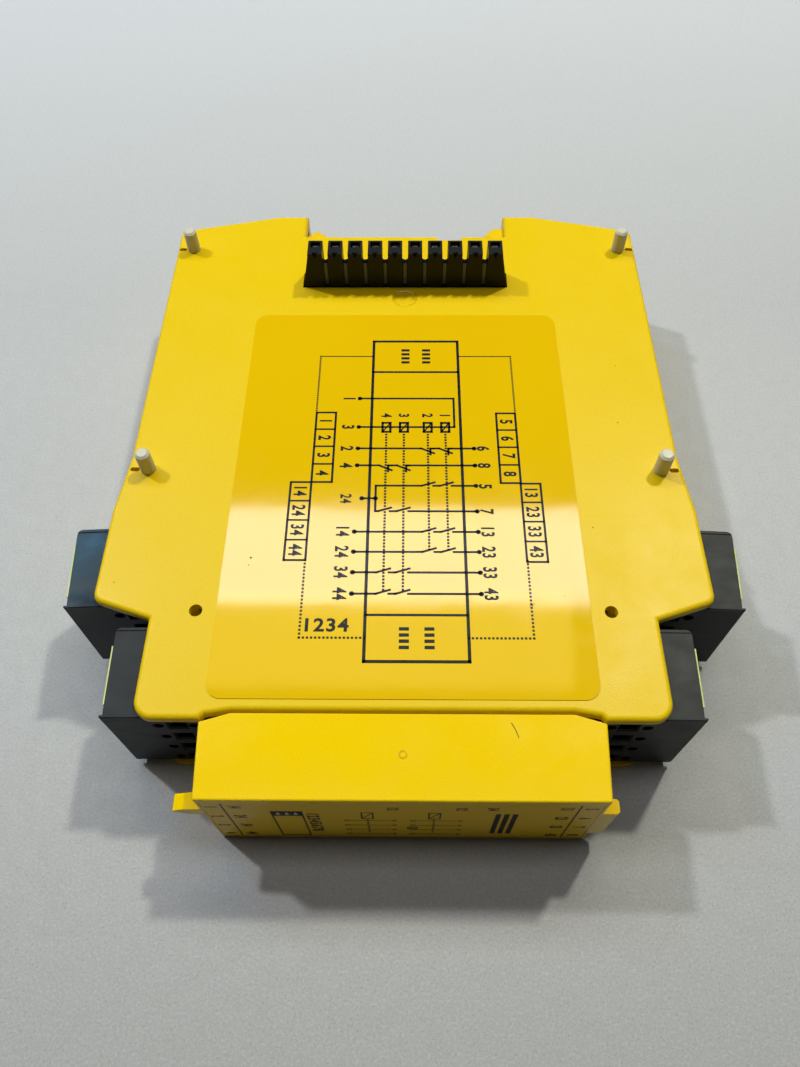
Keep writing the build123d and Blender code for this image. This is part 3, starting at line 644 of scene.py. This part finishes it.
# Tables, window and small relay plans on the front film, seen in shade
def front_print():
    page = Print(front_origin(), (1, 0, 0), (0, 0, 1), (0, -1, 0))
    rows = (18.7, 13.4, 8.1, 2.9)
    tables = (
        (-26.35, ("1", "2", "3", "4")),
        (-23.0, ("14", "24", "34", "44")),
        (22.7, ("13", "23", "33", "43")),
        (26.05, ("5", "6", "7", "8")),
    )
    for x, numbers in tables:
        for z, text in zip(rows, numbers):
            page.number(text, x, z, 1.75, -1, 0.6)
    for x in (-24.75, 24.4):
        page.line((x, 1.5), (x, 20.4), 0.24)
    page.frame(-18.4, 1.8, -14.1, 16.4, 0.24)
    page.rectangle(-18.4, 14.0, -14.1, 16.5)
    page.number("12345678", -12.65, 9.9, 1.7, -1, 1.05)
    for x0 in (-5.75, 3.8):
        page.frame(x0, 12.5, x0 + 1.6, 16.0, 0.22)
        page.line((x0 + 0.2, 13.0), (x0 + 1.4, 15.6), 0.18)
        page.dots((x0 + 0.8, 12.3), (x0 + 0.8, 4.2), 0.75, 0.34)
        for z in (11.4, 8.6, 5.8, 3.0):
            page.line((x0 - 1.7, z), (x0 + 4.0, z), 0.15)
            page.number("13", x0 - 2.25, z, 0.8, -1, 0.7)
            page.number("14", x0 + 4.6, z, 0.7, -1, 0.7)
        page.number("12", x0 + 4.5, 18.2, 1.5, -1, 0.7)
    for x in (1.1, 1.95):
        page.number("1234", x, 6.8, 0.75, -1, 0.8)
    page.number("34", 12.6, 18.3, 1.5, -1, 0.7)
    for x in (13.2, 14.4, 15.6):
        page.rectangle(x, 3.6, x + 0.75, 15.6)
    page.finish("front_print", ink("front_ink", FRONT_INK, 0.3))


# Pale marks in the dark head of the front window
def front_marks():
    page = Print(front_origin(), (1, 0, 0), (0, 0, 1), (0, -1, 0), SPECK_LIFT)
    for x in (-17.5, -16.25, -15.0):
        page.polygon([(x - 0.32, 14.7), (x + 0.32, 14.7), (x + 0.1, 15.9), (x - 0.1, 15.9)])
    page.finish("front_window_marks", pale_plastic("mark_white", (0.6, 0.58, 0.5)))


# Shallow ring on a moulded face, turned about its centre from rows of reach and rise
def ring_mark(name, centre, rows, material, sides=28):
    shape = bmesh.new()
    loops = []
    for reach, rise in rows:
        loop = []
        for i in range(sides):
            turn = 2 * math.pi * i / sides
            point = (
                centre[0] + reach * math.cos(turn),
                centre[1] + reach * math.sin(turn),
                centre[2] + rise,
            )
            loop.append(shape.verts.new(Vector(point) * MM))
        loops.append(loop)
    for inner, outer in zip(loops, loops[1:]):
        for i in range(sides):
            j = (i + 1) % sides
            shape.faces.new((inner[i], outer[i], outer[j], inner[j]))
    mesh = bpy.data.meshes.new(name)
    shape.to_mesh(mesh)
    shape.free()
    for face in mesh.polygons:
        face.use_smooth = True
    return new_object(name, mesh, material, ROOT)


# Rolled wall of the shallow dimple in the cover: an arc in steps, from its floor outward
DIMPLE_FROM_FILM = 4.85
DIMPLE_FLOOR_RADIUS = 1.75
DIMPLE_WALL_WIDE = 0.84
DIMPLE_WALL_HIGH = 0.81
DIMPLE_BELOW = 0.24
DIMPLE_STEPS = 6
DIMPLE_STEP_ANGLE = 9.0
DIMPLE_SIDES = 48


def dimple_wall():
    plate_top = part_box("side_cover")[1].z / MM
    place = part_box("side_label")[1].y / MM + DIMPLE_FROM_FILM
    rows = []
    for step in range(DIMPLE_STEPS):
        turn = math.radians(DIMPLE_STEP_ANGLE * step)
        reach = DIMPLE_FLOOR_RADIUS + DIMPLE_WALL_WIDE * math.sin(turn)
        rows.append((reach, -DIMPLE_BELOW + DIMPLE_WALL_HIGH * (1 - math.cos(turn))))
    plastic = yellow_plastic("dimple_plastic", DIMPLE_YELLOW, 0.4, 0.01, 0.25, 0.6)
    ring_mark("dimple_wall", (0.0, place, plate_top), rows, plastic, DIMPLE_SIDES)


# Low ring where the cap was filled in its mould
GATE_X = 0.1
GATE_Y = -54.0
GATE_SUNK = 0.01
GATE_PROFILE = ((0.33, 0.0), (0.5, 0.12), (0.67, 0.0))


def gate_mark():
    plastic = yellow_plastic("gate_plastic", GATE_YELLOW, 0.4, 0.02, 0.22)
    centre = (GATE_X, GATE_Y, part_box("front_cap")[1].z / MM - GATE_SUNK)
    ring_mark("gate_mark", centre, GATE_PROFILE, plastic)


# Specks of dirt and one fine hair, where the photograph shows them
def specks(material):
    page = Print(top_origin("side_label"), (1, 0, 0), (0, 1, 0), (0, 0, 1), SPECK_LIFT)
    spots = ((-24.0, -23.0, 0.16), (-24.2, -24.3, 0.1), (19.6, -31.2, 0.12), (24.6, -29.6, 0.08))
    for x, y, size in spots:
        page.disc(x, y, size, SPECK_SIDES)
    page.line((19.2, -31.3), (19.9, -30.9), 0.08)
    page.finish("dirt_specks", material)
    page = Print(top_origin("side_cover"), (1, 0, 0), (0, 1, 0), (0, 0, 1), SPECK_LIFT)
    spots = ((30.4, -17.1, 0.11), (37.2, 4.6, 0.12), (38.5, 17.9, 0.08), (-44.8, -27.4, 0.09))
    for x, y, size in spots:
        page.disc(x, y, size, SPECK_SIDES)
    page.finish("cover_specks", material)


def hair(material):
    points = ((15.3, -49.5), (15.6, -50.0), (15.95, -50.8), (16.2, -51.6))
    page = Print(top_origin("front_cap"), (1, 0, 0), (0, 1, 0), (0, 0, 1), HAIR_LIFT)
    for start, end in zip(points, points[1:]):
        page.line(start, end, HAIR_THICK)
    page.finish("cap_hair", material)


# Corners of each face of a block, counted along x, then y, then z
BLOCK_FACES = (
    (0, 2, 3, 1),
    (4, 5, 7, 6),
    (0, 1, 5, 4),
    (2, 6, 7, 3),
    (0, 4, 6, 2),
    (1, 3, 7, 5),
)


def block(shape, x0, x1, y0, y1, z0, z1):
    corners = [Vector((x, y, z)) * MM for z in (z0, z1) for y in (y0, y1) for x in (x0, x1)]
    made = [shape.verts.new(c) for c in corners]
    for face in BLOCK_FACES:
        shape.faces.new([made[i] for i in face])


def solid(name, shape, material, body=ROOT):
    mesh = bpy.data.meshes.new(name)
    shape.to_mesh(mesh)
    shape.free()
    return new_object(name, mesh, material, body)


# Strips between the fingers, in the grooves of the connector's front, whose lighter bluish grey is
# painted light: front fill light on black plastic
BUS_PITCH = 3.81
BUS_GAPS = 9
STRIP_HALF_WIDE = 0.36
STRIP_FROM = 0.20
STRIP_TO = 0.45
STRIP_FOOT = 0.6
STRIP_TOP = 5.6
# Painted light: this bluish grey stands for front fill light falling on the black connector
STRIP_PAINTED_LIGHT_BLUE = (0.030, 0.045, 0.16)


def connector_painted_light_strips():
    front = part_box("bus_plug")[0].y / MM
    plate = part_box("side_cover")[1].z / MM
    shape = bmesh.new()
    for i in range(BUS_GAPS):
        x = (i - (BUS_GAPS - 1) / 2) * BUS_PITCH
        sides = (x - STRIP_HALF_WIDE, x + STRIP_HALF_WIDE)
        deep = (front + STRIP_FROM, front + STRIP_TO)
        block(shape, *sides, *deep, plate + STRIP_FOOT, plate + STRIP_TOP)
    plastic = moulded("strip_painted_light", STRIP_PAINTED_LIGHT_BLUE, 0.35)
    solid("connector_painted_light_strips", shape, plastic, ROOT)


# Thin plates on the marker strips' leaning faces, nearly as tall as the plugs
PLATE_THICK = 0.30
PLATE_BELOW_TOP = 0.35


def marker_plates():
    card = pale_plastic("marker_card", (0.46, 0.50, 0.14))
    for place in stations(""):
        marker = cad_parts["marker" + place]
        corners = [marker.matrix_world @ v.co / MM for v in marker.data.vertices]
        middle = sum(c.y for c in corners) / len(corners)
        front = max((c for c in corners if c.y < middle), key=lambda c: abs(c.x))
        rear = max((c for c in corners if c.y > middle), key=lambda c: abs(c.x))
        inward = -math.copysign(PLATE_THICK, front.x)
        foot = min(c.z for c in corners)
        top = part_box("plug" + place)[1].z / MM - PLATE_BELOW_TOP
        outline = [(front.x, front.y), (rear.x, rear.y)]
        outline += [(x + inward, y) for x, y in reversed(outline)]
        shape = bmesh.new()
        rings = [[shape.verts.new(Vector((x, y, z)) * MM) for x, y in outline] for z in (foot, top)]
        shape.faces.new(rings[0])
        shape.faces.new(rings[1])
        for a in range(4):
            b = (a + 1) % 4
            shape.faces.new((rings[0][a], rings[0][b], rings[1][b], rings[1][a]))
        bmesh.ops.recalc_face_normals(shape, faces=shape.faces)
        solid("marker_plate" + place, shape, card, "plug" + place)


# Lamp panel in metres, whose power follows from its area and the radiance of its face
def panel(name, place, aim, width, depth, radiance, tint=(1.0, 1.0, 1.0)):
    data = bpy.data.lights.new(name, "AREA")
    data.shape = "RECTANGLE"
    data.size = width
    data.size_y = depth
    data.energy = radiance * width * depth * math.pi
    data.color = tint
    lamp = bpy.data.objects.new(name, data)
    turn = (Vector(place) - Vector(aim)).to_track_quat("Z", "Y")
    lamp.matrix_world = Matrix.Translation(place) @ turn.to_matrix().to_4x4()
    bpy.context.scene.collection.objects.link(lamp)


DIM_COLOUR = (0.93, 0.97, 1.0, 1.0)
DIM_STRENGTH = 0.03

# Height of a ray's direction up to which glossy surfaces see the pale world, and from which none do
PALE_BELOW = 0.2
DIM_ABOVE = 0.5


# Dim world that lights the object, and a pale one that is only seen
def add_world():
    world = bpy.data.worlds.new("world")
    world.use_nodes = True
    tree = world.node_tree
    dim = tree.nodes["Background"]
    dim.inputs["Color"].default_value = DIM_COLOUR
    dim.inputs["Strength"].default_value = DIM_STRENGTH
    pale = tree.nodes.new("ShaderNodeBackground")
    pale.inputs["Color"].default_value = BACKDROP
    parts = tree.nodes.new("ShaderNodeSeparateXYZ")
    place = tree.nodes.new("ShaderNodeTexCoord")
    tree.links.new(place.outputs["Generated"], parts.inputs["Vector"])
    low = tree.nodes.new("ShaderNodeMapRange")
    low.inputs["From Min"].default_value = PALE_BELOW
    low.inputs["From Max"].default_value = DIM_ABOVE
    low.inputs["To Min"].default_value = 1.0
    low.inputs["To Max"].default_value = 0.0
    tree.links.new(parts.outputs["Z"], low.inputs["Value"])
    mixed = tree.nodes.new("ShaderNodeMixShader")
    tree.links.new(backdrop_rays(tree, low.outputs["Result"]), mixed.inputs["Fac"])
    tree.links.new(dim.outputs[0], mixed.inputs[1])
    tree.links.new(pale.outputs[0], mixed.inputs[2])
    tree.links.new(mixed.outputs[0], tree.nodes["World Output"].inputs["Surface"])
    bpy.context.scene.world = world


WARM = (1.0, 0.86, 0.24)
SKY_BLUE = (0.28, 0.66, 1.0)
FAINT_YELLOW = (0.98, 1.0, 0.84)
FAINT_BLUE = (0.95, 0.98, 1.0)


# Two panels that the side film mirrors, a blue one for the plugs on the left, two small strong
# ones whose shadows fall to either side, and a wide one above that fills
def add_light():
    add_world()
    panel("lamp_middle", (0.01, 0.375, 0.7), (0.01, 0.0, 0), 0.52, 0.105, 8.6)
    panel("lamp_low", (-0.03, 0.270, 0.69), (-0.03, 0.0, 0), 0.40, 0.10, 2.6, WARM)
    panel("lamp_sky", (-0.40, 0.42, 0.7), (0, 0, 0), 0.12, 0.16, 16.0, SKY_BLUE)
    panel("lamp_right", (0.27, 0.305, 0.7), (0, -0.06, 0), 0.04, 0.04, 625.0, FAINT_YELLOW)
    panel("lamp_left", (-0.46, 0.264, 0.7), (0, -0.06, 0), 0.04, 0.04, 650.0, FAINT_BLUE)
    panel("lamp_above", (0.0, 0.07, 1.2), (0, 0.05, 0.0), 1.3, 0.25, 3.3)


# Half of the floor's side
FLOOR_HALF = 1.6


def add_floor():
    size = FLOOR_HALF
    shape = bmesh.new()
    corners = ((-size, -size), (size, -size), (size, size), (-size, size))
    shape.faces.new([shape.verts.new((x, y, 0.0)) for x, y in corners])
    mesh = bpy.data.meshes.new("floor")
    shape.to_mesh(mesh)
    shape.free()
    floor = bpy.data.objects.new("floor", mesh)
    mesh.materials.append(floor_material())
    bpy.context.scene.collection.objects.link(floor)


def dress(material, *names):
    for name in names:
        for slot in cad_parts[name].material_slots:
            slot.material = material


def stations(kind):
    return [f"{kind}_{row}_{side}" for row in ("front", "rear") for side in ("left", "right")]


def dress_nodes():
    dress(yellow_plastic("housing_plastic"), "housing_base", "side_cover")
    dress(yellow_plastic("cap_plastic", CAP_YELLOW, 0.5, 0.01, 0.16), "front_cap")
    dress(yellow_plastic("latch_plastic_yellow", LATCH_YELLOW), "rail_latch")
    dress(film("side_film"), "side_label")
    dress(film("front_film", FRONT_FILM_YELLOW, 0.3, gloss=0.15), "front_label")
    dress(black_plastic("plug_plastic"), *stations("plug"))
    shiny = black_plastic("plug_plastic_glossy", rough=0.13, scuff=0.2, patchy=0.13)
    dress(shiny, "plug_rear_left")
    connector = black_plastic("connector_plastic", CONNECTOR_BLACK, 0.34, 0.2)
    dress(connector, "bus_plug", "bus_socket")
    dress(moulded("header_plastic", (0.02, 0.02, 0.022), 0.45), *stations("header"))
    dress(pale_plastic("marker_plastic", (0.62, 0.66, 0.20)), *stations("marker"))
    # The link pins' colour is set darker than their pale plastic, as painted shade on their sides
    dress(pale_plastic("pin_plastic_painted_shade", (0.50, 0.47, 0.36)), *stations("link_pin"))
    dress(metal("tinned_metal"), "bus_contacts", *stations("clamps"), *stations("header_pins"))
    dress(metal("spring_metal", (0.6, 0.6, 0.6), 0.22), "latch_spring")
    dress(board("board_resist"), "main_board")
    relays = [f"relay_{i}" for i in (1, 2, 3, 4)]
    dress(moulded("relay_case", (0.02, 0.05, 0.16), 0.35), *relays)
    sleeve = moulded("capacitor_sleeve", (0.01, 0.01, 0.03), 0.25)
    dress(sleeve, "capacitor_left", "capacitor_right")
    dress(moulded("chip_resin", (0.012, 0.012, 0.012), 0.5), "control_chip")


add_camera()
add_light()
add_floor()
dress_nodes()
side_print()
front_print()
front_marks()
dirt = ink("dirt", DIRT_BROWN, 0.6)
specks(dirt)
hair(dirt)
connector_painted_light_strips()
marker_plates()
dimple_wall()
gate_mark()
